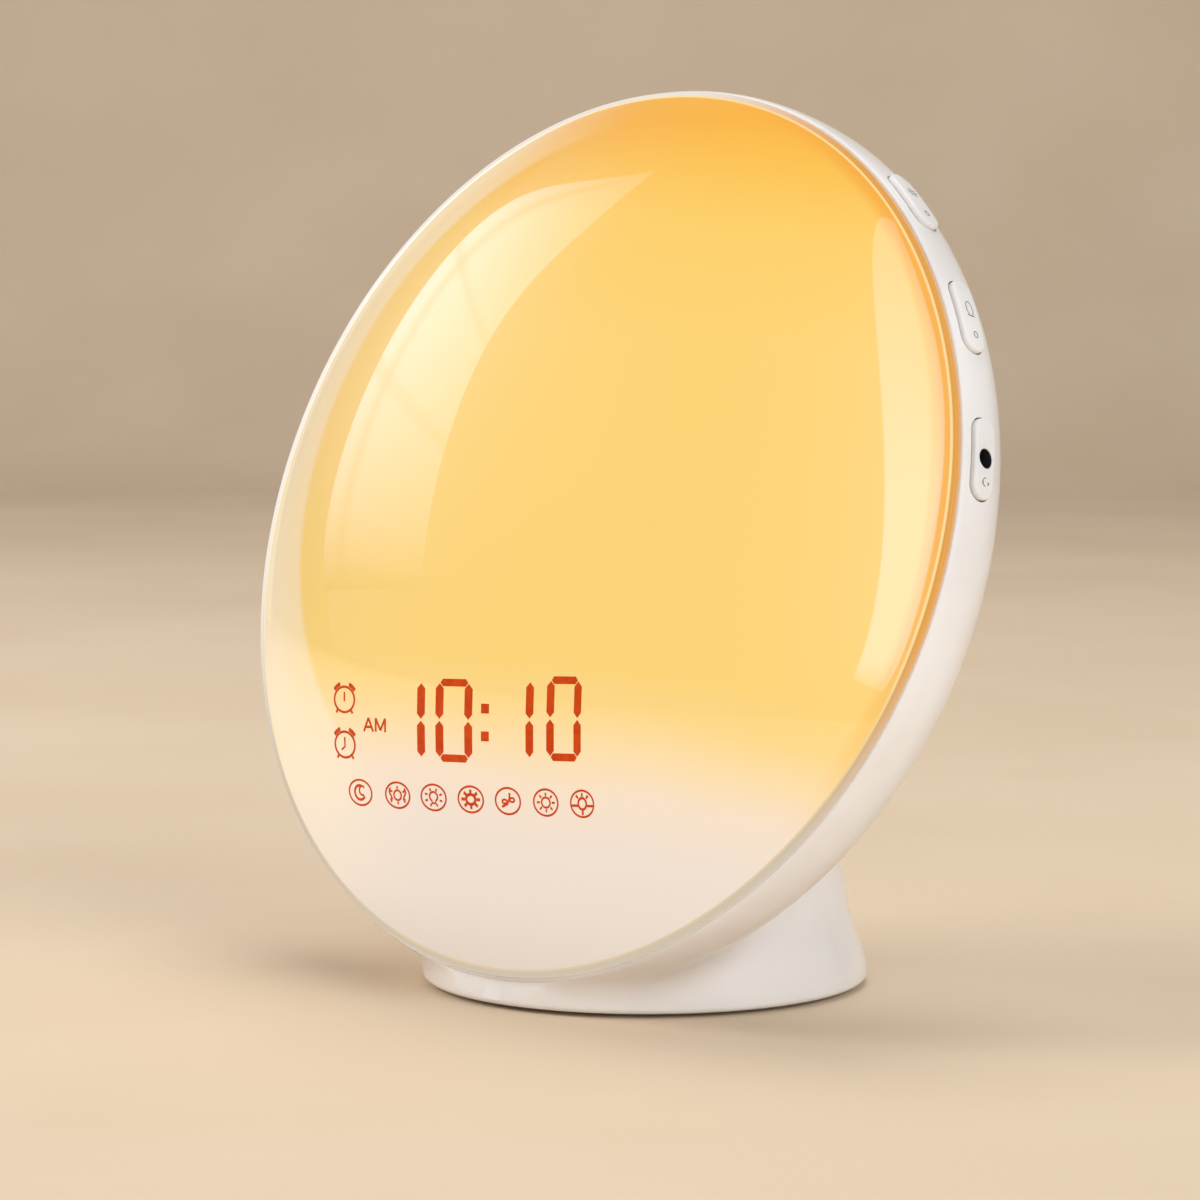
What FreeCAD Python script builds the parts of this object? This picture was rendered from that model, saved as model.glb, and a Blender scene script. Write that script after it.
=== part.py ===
# Sunrise alarm clock: a round lamp with a domed light cover, leaning back on a hollow foot.
# Row frame: origin on the table under the foot's centre, front towards -Y, up +Z, millimetres.
# Disc frame: x to the right, y up along the leaning disc, z out of its front; z = 0 is the lens plane.
import FreeCAD, Part
import math
import os

V = FreeCAD.Vector

# Stance of the disc on its foot
tilt = 17.6
disc_lift = 2.1
foot_setback = 15.8

# Light cover
lens_radius = 85.0
flange_width = 1.0
flange_height = 1.2
dome_rise = 27.0
lens_wall = 2.0
spigot_depth = 0.9
spigot_wall = 1.9
spigot_gap = 0.25

# Housing: rim, bowl and foot column in one moulding
rim_lip = 0.2
rim_bulge = 1.2
rim_depth = 6.3
bowl_depth = 29.7
rim_wall = 2.6
shell_wall = 2.2
foot_radius = 42.2
foot_wall = 2.4
foot_edge_round = 1.2
ground_gap = 0.8
neck_height = 19.0
neck_half_width = 39.4
neck_back = 37.2
spine_height = 44.0
spine_back = 2.0
blend_radius = 7.0

# Keys and jack plate on the rim
pad_angles_right = [29.7, 48.0]
pad_angles_left = [132.0, 150.3, 168.6]
jack_angle = 11.4
pad_length = 14.8
pad_width = 5.2
pad_depth = 4.4
pad_proud = 1.0
pad_gap = 0.25
key_travel = 0.5
key_lip = 0.6
key_lip_thick = 1.2
key_seat_gap = 0.35
jack_bore = 1.75
jack_length = 12.0

# Reflector pan and light board
pan_sheet = 1.0
pan_side_gap = 3.0
pan_slope = 7.0
pan_floor_depth = 9.0
pan_flange_depth = 1.0
pan_rim_gap = 0.4
board_thick = 1.6
light_board_edge = 1.0
light_board_gap = 0.1
led_size = 3.5
led_height = 1.9
led_hole = 3.2
led_rings = [(0.30, 6), (0.56, 10), (0.77, 14)]
light_post_angles = [9.5, 170.5, 210.8, 329.2]
light_post_inset = 4.2
post_radius = 3.0

# Side switch boards
side_board_rim_gap = 4.8
side_board_width = 15.0
side_board_depth = 8.0
side_board_start = -12.0
side_board_end = 57.0
switch_size = 6.0
switch_depth = 3.5
switch_inset = 5.5
stem_radius = 1.2
stem_gap = 0.15
side_post_angles = [-5.0, 55.0]
side_post_inset = 11.5

# Display behind the lower left of the light cover
display_centre = (-3.5, -45.0)
display_width = 72.0
display_tall = 30.0
display_gap = 0.6
peg_radius = 1.6
peg_inset = 1.8
digit_places = [-13.0, -2.0, 14.3, 23.6]
digit_width = 6.6
digit_tall = 14.0
digit_rise = 4.0
segment_wide = 1.2
icon_count = 7
icon_hole = 1.9
icon_drop = -10.2
icon_pitch = 9.65

# Main board
main_width = 62.0
main_top = -12.0
main_bottom = -52.0
main_depth = 19.0
main_posts = [(28.0, -22.0), (-28.0, -22.0), (26.0, -47.0), (-26.0, -47.0)]

# Rear cover and speaker
cover_radius = 42.0
cover_rise = 15.0
cover_gap = 0.25
cover_thin = 0.1
ledge_width = 7.6
cover_screw_inset = 4.2
speaker_radius = 20.0
cone_gap = 4.0
speaker_depth = 30.0
speaker_height = 12.0
grille_hole = 1.1
grille_pitch = 4.2
grille_rings = 3

# Fasteners
screw_radius = 1.2
head_radius = 2.3
head_height = 1.3
screw_length = 7.0
screw_gap = 0.05

# Foot fittings
base_plate_thick = 2.2
base_plate_gap = 0.5
base_posts = [(22.0, 13.0), (-22.0, 13.0), (0.0, -18.0)]
base_screw_length = 5.5
ring_foot_inner = 30.0
ring_foot_outer = 37.0
ring_foot_sunk = 0.6
cell_radius = 10.0
cell_height = 3.2
cap_radius = 12.0
cap_gap = 0.3
cap_centre = 5.0
tab_reach = 2.0
tab_span = 30.0
cap_turn = 60.0
holder_wall = 1.5
inlet_height = 12.0
inlet_nose = 4.0
inlet_body_width = 9.0
inlet_body_height = 11.0
inlet_body_length = 11.0
inlet_bore = 2.8
inlet_bore_depth = 9.5
inlet_wall_gap = 0.6
inlet_pin = 1.05
wire_hole = 4.0
wire_radius = 1.3

rim_front = lens_radius + rim_lip
rim_radius = rim_front + rim_bulge
inner_radius = rim_radius - rim_wall
dome_radius = lens_radius - flange_width
inner_depth = bowl_depth - shell_wall
disc_height = lens_radius + disc_lift
side_board_outer = inner_radius - side_board_rim_gap
side_board_inner = side_board_outer - side_board_width
switch_back = side_board_outer - switch_inset
side_post_place = side_board_outer - side_post_inset
pan_mouth_radius = side_board_inner - pan_side_gap
pan_floor_radius = pan_mouth_radius - pan_slope
light_board_radius = pan_floor_radius - light_board_edge
cover_screw_circle = cover_radius - cover_screw_inset
far = 4 * rim_radius

os.makedirs("parts", exist_ok=True)
to_row = FreeCAD.Placement(V(0, -foot_setback, disc_height), FreeCAD.Rotation(V(1, 0, 0), 90 - tilt))


def export(shape, name):
    """Write one sub-part as STEP."""
    shape.exportStep("parts/" + name + ".step")


def on_disc(shape):
    """Carry a shape from the disc frame to the row frame."""
    moved = shape.copy()
    moved.transformShape(to_row.toMatrix())
    return moved


def cylinder(radius, height, x, y, z, axis=V(0, 0, 1)):
    return Part.makeCylinder(radius, height, V(x, y, z), axis)


def block(x0, x1, y0, y1, z0, z1):
    return Part.makeBox(x1 - x0, y1 - y0, z1 - z0, V(x0, y0, z0))


def ring(outer, inner, z0, z1):
    return cylinder(outer, z1 - z0, 0, 0, z0).cut(cylinder(inner, z1 - z0 + 2, 0, 0, z0 - 1))


def turned(shape, angle):
    """A copy turned about the disc's axis."""
    copy = shape.copy()
    copy.rotate(V(0, 0, 0), V(0, 0, 1), angle)
    return copy


def spun(edges):
    """A solid of revolution about the disc's axis from edges in the xz plane."""
    return Part.Face(Part.Wire(edges)).revolve(V(0, 0, 0), V(0, 0, 1), 360)


def line(a, b):
    return Part.makeLine(V(a[0], 0, a[1]), V(b[0], 0, b[1]))


def spun_outline(points):
    return spun([line(a, b) for a, b in zip(points, points[1:] + points[:1])])


def quarter(start, end, centre):
    """Quarter of an ellipse in the xz plane, from start to end about centre."""
    arms = [V(p[0], 0, p[1]) for p in (start, end)]
    middle = V(centre[0], 0, centre[1])
    if (arms[0] - middle).Length >= (arms[1] - middle).Length:
        return Part.ArcOfEllipse(Part.Ellipse(arms[0], arms[1], middle), 0, math.pi / 2).toShape()
    back = Part.Ellipse(arms[1], middle * 2 - arms[0], middle)
    return Part.ArcOfEllipse(back, -math.pi / 2, 0).toShape()


def disc_solid(proud=0.0):
    """Outer form of rim and bowl, filled, swollen by proud at the rim."""
    front = rim_front + proud
    side = rim_radius + proud
    return spun([
        line((0, 0), (front, 0)),
        quarter((front, 0), (side, -rim_depth), (front, -rim_depth)),
        quarter((side, -rim_depth), (0, -rim_depth - bowl_depth), (0, -rim_depth)),
        line((0, -rim_depth - bowl_depth), (0, 0))])


def cavity(shrink=0.0, top=1.0):
    """Inner form of rim and bowl, filled, offset inwards by shrink."""
    side = inner_radius - shrink
    low = -rim_depth - inner_depth + shrink
    return spun([
        line((0, top), (side, top)),
        line((side, top), (side, -rim_depth)),
        quarter((side, -rim_depth), (0, low), (0, -rim_depth)),
        line((0, low), (0, top))])


def dome_ball(inset):
    """The sphere of the light cover's dome, offset inwards."""
    radius = (dome_radius ** 2 + dome_rise ** 2) / (2 * dome_rise)
    return Part.makeSphere(radius - inset, V(0, 0, flange_height + dome_rise - radius))


def bowl_z(radius, drop=0.0):
    """Height of the bowl's outer surface in the disc frame, raised by drop."""
    return -rim_depth - bowl_depth * math.sqrt(1 - (radius / rim_radius) ** 2) + drop


def column(shrink, bottom):
    """The foot column as a loft of ellipses: shrink offsets it inwards."""
    half = spine_height - neck_height
    outline = [
        (bottom, foot_radius, foot_radius, foot_radius),
        (neck_height * 0.24, foot_radius - 0.1, foot_radius + 0.2, foot_radius - 0.4),
        (neck_height * 0.62, neck_half_width + 1.0, foot_radius, neck_back + 1.9),
        (neck_height, neck_half_width, foot_radius - 0.7, neck_back),
        (neck_height + half * 0.35, neck_half_width, foot_radius - 1.6, neck_back - 5.2),
        (neck_height + half * 0.7, neck_half_width, foot_radius - 3.4, neck_back - 17.0),
        (spine_height, neck_half_width - 0.6, foot_radius - 6.5, spine_back)]
    wires = []
    for z, half_width, front, back in outline:
        depth = (front + back) / 2 - shrink
        width = half_width - shrink
        centre = V(0, (back - front) / 2, z)
        if width >= depth:
            curve = Part.Ellipse(centre + V(width, 0, 0), centre + V(0, depth, 0), centre)
        else:
            curve = Part.Ellipse(centre + V(0, depth, 0), centre - V(width, 0, 0), centre)
            curve = Part.ArcOfEllipse(curve, -math.pi / 2, math.pi * 1.5)
        wires.append(Part.Wire([curve.toShape()]))
    return Part.makeLoft(wires, True, False)


def pill(length, width, x0, x1):
    """A long rounded block on the rim at angle 0, its axis along x."""
    straight = (length - width) / 2
    body = block(x0, x1, -straight, straight, -pad_depth - width / 2, -pad_depth + width / 2)
    for end in (-straight, straight):
        body = body.fuse(cylinder(width / 2, x1 - x0, x0, end, -pad_depth, V(1, 0, 0)))
    return body.removeSplitter()


def screw(x, y, head_z, length=screw_length):
    """A pan-head screw pointing to -z with its head's seat at head_z."""
    head = cylinder(head_radius, head_height, x, y, head_z)
    return head.fuse(cylinder(screw_radius, length, x, y, head_z - length))


def rear_screw(x, y, seat_z):
    """A screw driven from behind: its head's seat at seat_z, pointing to +z."""
    head = cylinder(head_radius, head_height, x, y, seat_z - head_height)
    return head.fuse(cylinder(screw_radius, screw_length, x, y, seat_z))


def pilot(x, y, z0, z1):
    return cylinder(screw_radius + screw_gap, z1 - z0, x, y, z0)


# Light cover
ball_out = dome_ball(0)
ball_in = dome_ball(lens_wall)
above = cylinder(dome_radius, dome_rise + 2, 0, 0, flange_height)
dome = ball_out.common(above)
flange = cylinder(lens_radius, flange_height, 0, 0, 0)
spigot_radius = inner_radius - spigot_gap
spigot = cylinder(spigot_radius, spigot_depth, 0, 0, -spigot_depth)
hollow = ball_in.common(cylinder(dome_radius, dome_rise + 2 * flange_height + 2, 0, 0, 0))
mouth = cylinder(spigot_radius - spigot_wall, spigot_depth + flange_height, 0, 0, -spigot_depth)
lens = flange.fuse(dome).fuse(spigot).cut(hollow.fuse(mouth)).removeSplitter()

# Housing
outer_disc = disc_solid()
inner_disc = cavity()
shell = outer_disc.cut(inner_disc)
row_disc = on_disc(outer_disc)
behind_lens = on_disc(block(-far, far, -far, far, -far, -flange_height / 2))
outer_column = column(0, ground_gap)
bottom_edges = [e for e in outer_column.Edges if e.BoundBox.ZMax < ground_gap + 0.01]
outer_column = outer_column.makeFillet(foot_edge_round, bottom_edges).common(behind_lens)
inner_column = column(foot_wall, ground_gap).cut(row_disc)
foot_under = cylinder(foot_radius - foot_wall, ground_gap + 1, 0, 0, -1)
whole_outer = row_disc.fuse(outer_column).removeSplitter()
seam = []
for edge in whole_outer.Edges:
    kinds = {face.Surface.TypeId for face in whole_outer.ancestorsOfType(edge, Part.Face)}
    if len(kinds) == 2 and not any("Plane" in kind for kind in kinds):
        seam.append(edge)
whole_outer = whole_outer.makeFillet(blend_radius, seam)
housing = whole_outer.copy()
housing = housing.cut(inner_column).cut(foot_under)
plate_top = ground_gap + base_plate_thick
for x, y in base_posts:
    post = cylinder(post_radius, spine_height, x, y, plate_top)
    housing = housing.fuse(post.common(whole_outer))
housing = housing.cut(on_disc(inner_disc))

# What is moulded inside the bowl, in the disc frame
inside = []
side_board_back = -side_board_depth - board_thick
light_board_top = -pan_floor_depth - pan_sheet - light_board_gap
light_board_back = light_board_top - board_thick
main_back = -main_depth - board_thick
bore_cuts = []
light_posts = []
for angle in light_post_angles:
    turn = math.radians(angle)
    reach = light_board_radius - light_post_inset
    light_posts.append((reach * math.cos(turn), reach * math.sin(turn)))
for x, y in light_posts:
    inside.append(cylinder(post_radius, far, x, y, light_board_back - far))
    bore_cuts.append(pilot(x, y, light_board_back - screw_length, light_board_back))
for x, y in main_posts:
    inside.append(cylinder(post_radius, far, x, y, main_back - far))
    bore_cuts.append(pilot(x, y, main_back - screw_length, main_back))
side_posts = []
for angle in side_post_angles:
    for side in (angle, 180 - angle):
        x = side_post_place * math.cos(math.radians(side))
        y = side_post_place * math.sin(math.radians(side))
        side_posts.append((x, y))
        inside.append(cylinder(post_radius, far, x, y, side_board_back - far))
        bore_cuts.append(pilot(x, y, side_board_back - screw_length, side_board_back))
cover_hole = cylinder(cover_radius, far, 0, cover_rise, -rim_depth - far)
ledge_ring = cylinder(cover_radius + 2, far, 0, cover_rise, -rim_depth - far)
ledge_ring = ledge_ring.cut(cylinder(cover_radius - ledge_width, far, 0, cover_rise, -rim_depth - far))
ledge = cavity(0).cut(cavity(shell_wall)).common(ledge_ring)
inside = [post.common(outer_disc) for post in inside]
for post in inside:
    housing = housing.fuse(on_disc(post))
housing = housing.cut(on_disc(cover_hole)).fuse(on_disc(ledge))

cover_screws = []
cover_screw_places = []
for angle in (45, 135, 225, 315):
    x = cover_screw_circle * math.cos(math.radians(angle))
    y = cover_rise + cover_screw_circle * math.sin(math.radians(angle))
    seat = bowl_z(math.hypot(x, y), head_height + 0.3)
    cover_screw_places.append((x, y, seat))
    cover_screws.append(rear_screw(x, y, seat))
    bore_cuts.append(pilot(x, y, seat, seat + screw_length))
for cut in bore_cuts:
    housing = housing.cut(on_disc(cut))

pad_hole = pill(pad_length + 2 * pad_gap, pad_width + 2 * pad_gap, inner_radius - 2, rim_radius + 2)
for angle in pad_angles_right + pad_angles_left + [jack_angle]:
    housing = housing.cut(on_disc(turned(pad_hole, angle)))
inlet_hole = cylinder(inlet_nose + screw_gap * 4, foot_radius, 0, inlet_body_length, inlet_height, V(0, 1, 0))
housing = housing.cut(inlet_hole)
housing = housing.cut(on_disc(cylinder(wire_hole, bowl_depth, 0, main_bottom - wire_hole, -rim_depth - bowl_depth)))
for x, y in base_posts:
    housing = housing.cut(pilot(x, y, plate_top, plate_top + base_screw_length))
housing = housing.removeSplitter()

# Rear cover with its speaker grille and the speaker's seat
cover_skin = outer_disc.cut(cavity(-cover_thin)).common(
    cylinder(cover_radius - cover_gap, far, 0, cover_rise, -rim_depth - far))
seat_ring = cylinder(speaker_radius + 0.5, far, 0, cover_rise, -speaker_depth - far)
seat_ring = seat_ring.cut(cylinder(speaker_radius - 3, far, 0, cover_rise, -speaker_depth - far))
rear_cover = cover_skin.fuse(seat_ring.common(outer_disc))
for ring_index in range(grille_rings + 1):
    count = max(1, 6 * ring_index)
    for k in range(count):
        turn = 2 * math.pi * k / count
        x = ring_index * grille_pitch * math.cos(turn)
        y = cover_rise + ring_index * grille_pitch * math.sin(turn)
        rear_cover = rear_cover.cut(cylinder(grille_hole, bowl_depth, x, y, -rim_depth - bowl_depth * 1.4))
for x, y, seat in cover_screw_places:
    rear_cover = rear_cover.cut(cylinder(head_radius + 0.2, far, x, y, seat - far))
    rear_cover = rear_cover.cut(pilot(x, y, seat - 1, seat + screw_length))

# Keys, jack plate, switches and stems
swollen = disc_solid(pad_proud)
key_foot_end = side_board_outer + 0.6
stem_start = switch_back + 1.0
switch_front = switch_back + switch_depth
lip_out = inner_radius - key_seat_gap
key_body = pill(pad_length, pad_width, lip_out - key_lip_thick, rim_radius + 2).common(swollen)
lip = pill(pad_length + 2 * key_lip, pad_width + 2 * key_lip, inner_radius - 6, inner_radius)
lip = lip.common(cylinder(lip_out, rim_depth * 3, 0, 0, -rim_depth * 2))
lip = lip.cut(cylinder(lip_out - key_lip_thick, rim_depth * 3, 0, 0, -rim_depth * 2))
foot = block(key_foot_end, lip_out - key_lip_thick + 0.4, -2.5, 2.5, -pad_depth - 1.5, -pad_depth + 1.5)
key = key_body.fuse(lip).fuse(foot).removeSplitter()
stem = cylinder(stem_radius, key_foot_end - stem_start, stem_start, 0, -pad_depth, V(1, 0, 0))
switch = block(switch_back, switch_front, -switch_size / 2, switch_size / 2,
               -side_board_depth, -pan_flange_depth - pan_sheet - 0.2)
switch = switch.cut(cylinder(stem_radius + stem_gap, switch_depth, stem_start - key_travel - 0.2,
                             0, -pad_depth, V(1, 0, 0)))
jack_front = inner_radius - key_seat_gap - key_lip_thick
jack_plate = pill(pad_length, pad_width, jack_front, rim_radius + 2).common(swollen)
jack_plate = jack_plate.fuse(lip.common(block(0, far, -far, far, -far, far)))
jack_plate = jack_plate.cut(block(0, jack_front, -far, far, -far, far))
jack_plate = jack_plate.cut(cylinder(jack_bore, far, 0, 0, -pad_depth, V(1, 0, 0))).removeSplitter()
jack = block(jack_front - jack_length, jack_front, -3.6, 3.6, -side_board_depth,
             -pan_flange_depth - pan_sheet - 0.1)
jack = jack.cut(cylinder(jack_bore, jack_length, jack_front - jack_length + 1, 0, -pad_depth, V(1, 0, 0)))

# Side switch boards
sector = ring(side_board_outer, side_board_inner, side_board_back, -side_board_depth)


def sector_board(start, end):
    """A board along the rim, cut from a flat ring between two angles."""
    points = [V(0, 0, 0)]
    steps = 4
    for k in range(steps + 1):
        angle = math.radians(start + (end - start) * k / steps)
        points.append(V(2 * rim_radius * math.cos(angle), 2 * rim_radius * math.sin(angle), 0))
    fan = Part.Face(Part.makePolygon([p + V(0, 0, -rim_depth * 3) for p in points + points[:1]]))
    board = sector.common(fan.extrude(V(0, 0, rim_depth * 4)))
    for x, y in side_posts:
        board = board.cut(pilot(x, y, side_board_back - 1, 0))
    return board


right_board = sector_board(side_board_start, side_board_end)
left_board = sector_board(180 - side_board_end, 180 - side_board_start)

# Reflector pan, light board and its lamps
flange_outer = spigot_radius - spigot_wall - pan_rim_gap
floor_back = -pan_floor_depth - pan_sheet
flange_back = -pan_flange_depth - pan_sheet
pan = spun_outline([
    (0, -pan_floor_depth), (pan_floor_radius, -pan_floor_depth), (pan_mouth_radius, -pan_flange_depth),
    (flange_outer, -pan_flange_depth), (flange_outer, flange_back),
    (pan_mouth_radius + pan_sheet * 0.7, flange_back), (pan_floor_radius + pan_sheet * 0.7, floor_back),
    (0, floor_back)])
light_board = cylinder(light_board_radius, board_thick, 0, 0, light_board_back)
leds = []
for share, count in led_rings:
    radius = share * light_board_radius
    for k in range(count):
        turn = 360.0 * k / count
        lamp = block(radius - led_size / 2, radius + led_size / 2, -led_size / 2, led_size / 2,
                     light_board_top, light_board_top + led_height)
        leds.append(turned(lamp, turn))
        pan = pan.cut(turned(cylinder(led_hole, 3 * pan_sheet, radius, 0, floor_back - pan_sheet), turn))
light_screws = []
for x, y in light_posts:
    light_screws.append(screw(x, y, -pan_floor_depth, screw_length + board_thick))
    hole = pilot(x, y, light_board_back - 1, 0)
    pan = pan.cut(hole)
    light_board = light_board.cut(hole)

# Display: board and light box whose front follows the dome
left_edge = display_centre[0] - display_width / 2
right_edge = display_centre[0] + display_width / 2
low_edge = display_centre[1] - display_tall / 2
top_edge = display_centre[1] + display_tall / 2
display_back = -pan_flange_depth + 0.1
display_face = display_back + board_thick
display_board = block(left_edge, right_edge, low_edge, top_edge, display_back, display_face)
light_box = block(left_edge, right_edge, low_edge, top_edge, display_face, dome_rise)
light_box = light_box.common(dome_ball(lens_wall + display_gap))


def window(x0, x1, y0, y1):
    return block(x0, x1, y0, y1, display_face - 1, dome_rise + 2)


digit_mid = display_centre[1] + digit_rise
half_tall = digit_tall / 2
bar = digit_width - 2 * segment_wide
for place in digit_places:
    for level in (-half_tall, 0, half_tall):
        light_box = light_box.cut(window(place - bar / 2, place + bar / 2, digit_mid + level - segment_wide / 2,
                                         digit_mid + level + segment_wide / 2))
    for side in (-1, 1):
        for up in (-1, 1):
            x = place + side * (digit_width - segment_wide) / 2
            y = digit_mid + up * half_tall / 2
            light_box = light_box.cut(window(x - segment_wide / 2, x + segment_wide / 2,
                                             y - half_tall / 2 + segment_wide, y + half_tall / 2 - segment_wide))
for k in range(icon_count):
    x = display_centre[0] + (k - (icon_count - 1) / 2) * icon_pitch
    light_box = light_box.cut(cylinder(icon_hole, far, x, display_centre[1] + icon_drop, display_face - 1))
for x in (left_edge + peg_inset, right_edge - peg_inset):
    peg = cylinder(peg_radius, display_back + pan_floor_depth, x, top_edge - 3, -pan_floor_depth)
    pan = pan.fuse(peg)

# Main board and what is soldered on it
half_main = main_width / 2
main_board = block(-half_main, half_main, main_bottom, main_top, main_back, -main_depth)
board_parts = [
    block(-10, 2, -40, -28, -main_depth, -main_depth + 1.4),
    block(10, 16, -38, -33, -main_depth, -main_depth + 1.2),
    cylinder(3.2, 6.5, 18, -24, -main_depth),
    cylinder(2.5, 5.5, -18, -25, -main_depth),
    block(-22, -10, -50, -45, -main_depth, -main_depth + 4.2)]
main_screws = []
for x, y in main_posts:
    main_board = main_board.cut(pilot(x, y, main_back - 1, 0))
    main_screws.append(screw(x, y, -main_depth, screw_length))
side_screws = []
for x, y in side_posts:
    side_screws.append(screw(x, y, -side_board_depth, screw_length))

# Speaker
speaker_top = -speaker_depth + speaker_height
frame_profile = [
    (speaker_radius - 3, -speaker_depth), (speaker_radius, -speaker_depth),
    (speaker_radius, -speaker_depth + 1.2), (speaker_radius - 3, -speaker_depth + 1.6),
    (speaker_radius * 0.6, speaker_top - 5), (speaker_radius * 0.35, speaker_top - 5),
    (speaker_radius * 0.35, speaker_top - 6), (speaker_radius * 0.55, speaker_top - 6)]
speaker_frame = spun_outline(frame_profile)
speaker_magnet = cylinder(speaker_radius * 0.55, 5, 0, 0, speaker_top - 5)
speaker_cone = spun_outline([
    (0, speaker_top - 6.4), (speaker_radius * 0.35, speaker_top - 7.4),
    (speaker_radius - cone_gap, -speaker_depth + 0.7), (speaker_radius - cone_gap, -speaker_depth + 0.2),
    (speaker_radius * 0.35, speaker_top - 8.2), (0, speaker_top - 8.8)])
for piece in (speaker_frame, speaker_magnet, speaker_cone):
    piece.translate(V(0, cover_rise, 0))

# Foot fittings, in the row frame
plate_radius = foot_radius - foot_wall - base_plate_gap
base_plate = cylinder(plate_radius, base_plate_thick, 0, 0, ground_gap)
ring_top = ground_gap + ring_foot_sunk
ring_foot = ring(ring_foot_outer, ring_foot_inner, 0, ring_top)
base_plate = base_plate.cut(ring(ring_foot_outer + 0.1, ring_foot_inner - 0.1, 0, ring_top))
cap_hole = cylinder(cap_radius + cap_gap, 6, 0, cap_centre, 0)
base_plate = base_plate.cut(cap_hole).cut(on_disc(disc_solid(base_plate_gap)))
tab_ring = cylinder(cap_radius + tab_reach, 1.0, 0, cap_centre, plate_top + 0.2)


def wedge(middle, span, z0, z1):
    """A slice of pie about the battery cap's axis."""
    points = [V(0, cap_centre, z0)]
    for angle in (middle - span / 2, middle, middle + span / 2):
        turn = math.radians(angle)
        points.append(V(3 * cap_radius * math.cos(turn), cap_centre + 3 * cap_radius * math.sin(turn), z0))
    return Part.Face(Part.makePolygon(points + points[:1])).extrude(V(0, 0, z1 - z0))


cap_top = plate_top + 1.2
battery_cap = cylinder(cap_radius, cap_top - ground_gap - 0.1, 0, cap_centre, ground_gap + 0.1)
battery_cap = battery_cap.cut(cylinder(cell_radius + 0.6, 6, 0, cap_centre, ground_gap + 1.6))
coin_slot = block(-7, 7, cap_centre - 0.9, cap_centre + 0.9, 0, ground_gap + 0.9)
battery_cap = battery_cap.cut(coin_slot)
for middle in (0, 180):
    tab = tab_ring.common(wedge(middle, tab_span, plate_top, plate_top + 2))
    tab = tab.cut(cylinder(cap_radius - 0.7, 6, 0, cap_centre, 0))
    battery_cap = battery_cap.fuse(tab)
    notch = cylinder(cap_radius + tab_reach + cap_gap, 6, 0, cap_centre, 0)
    base_plate = base_plate.cut(notch.common(wedge(middle + cap_turn, tab_span + 6, 0, 6)))
battery_cap = battery_cap.removeSplitter()
cell_base = ground_gap + 1.8
coin_cell = cylinder(cell_radius, cell_height, 0, cap_centre, cell_base)
holder_inner = cap_radius + tab_reach + cap_gap + 0.4
holder_top = cell_base + cell_height + 3.0
battery_holder = cylinder(holder_inner + holder_wall, holder_top - plate_top, 0, cap_centre, plate_top)
battery_holder = battery_holder.cut(
    cylinder(holder_inner, holder_top - plate_top - holder_wall, 0, cap_centre, plate_top))
contact_z = cell_base + cell_height + 0.1
contact_roof = holder_top - holder_wall
contact_leaf = block(-2, 2, cap_centre - 7, cap_centre + 7, contact_z, contact_z + 0.3)
contact_leg = block(-2, 2, cap_centre + 6.7, cap_centre + 7, contact_z, contact_roof)
side_leaf = block(-9, -6, cap_centre - 2, cap_centre + 2, contact_z, contact_z + 0.3)
side_leg = block(-9, -8.7, cap_centre - 2, cap_centre + 2, contact_z, contact_roof)
battery_contacts = Part.makeCompound([contact_leaf.fuse(contact_leg), side_leaf.fuse(side_leg)])
base_screws = []
for x, y in base_posts:
    head = cylinder(head_radius, head_height, x, y, ground_gap + 0.1)
    base_screws.append(head.fuse(cylinder(screw_radius, base_screw_length, x, y, ground_gap + 0.1)))
    base_plate = base_plate.cut(cylinder(head_radius + 0.2, head_height + 0.1, x, y, ground_gap))
    base_plate = base_plate.cut(pilot(x, y, 0, plate_top + 1))

# Power inlet in the back of the foot
wall_back = neck_back + 1.9
nose_end = wall_back + 0.3
body_end = neck_back - foot_wall - inlet_wall_gap
body_start = body_end - inlet_body_length
half_height = inlet_body_height / 2
power_inlet = block(-inlet_body_width / 2, inlet_body_width / 2, body_start, body_end,
                    inlet_height - half_height, inlet_height + half_height)
along = V(0, 1, 0)
power_inlet = power_inlet.fuse(cylinder(inlet_nose, nose_end - body_end, 0, body_end, inlet_height, along))
bore_start = nose_end - inlet_bore_depth
power_inlet = power_inlet.cut(cylinder(inlet_bore, inlet_bore_depth + 1, 0, bore_start, inlet_height, along))
pin_start = bore_start
inlet_centre_pin = cylinder(inlet_pin, nose_end - 0.8 - pin_start, 0, pin_start, inlet_height, along)


def tube(points, radius):
    """A wire as straight rods joined by balls."""
    rods = []
    for a, b in zip(points, points[1:]):
        rods.append(Part.makeCylinder(radius, (b - a).Length, a, b - a))
    for joint in points[1:-1]:
        rods.append(Part.makeSphere(radius, joint))
    return rods[0].multiFuse(rods[1:]).removeSplitter()


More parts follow.
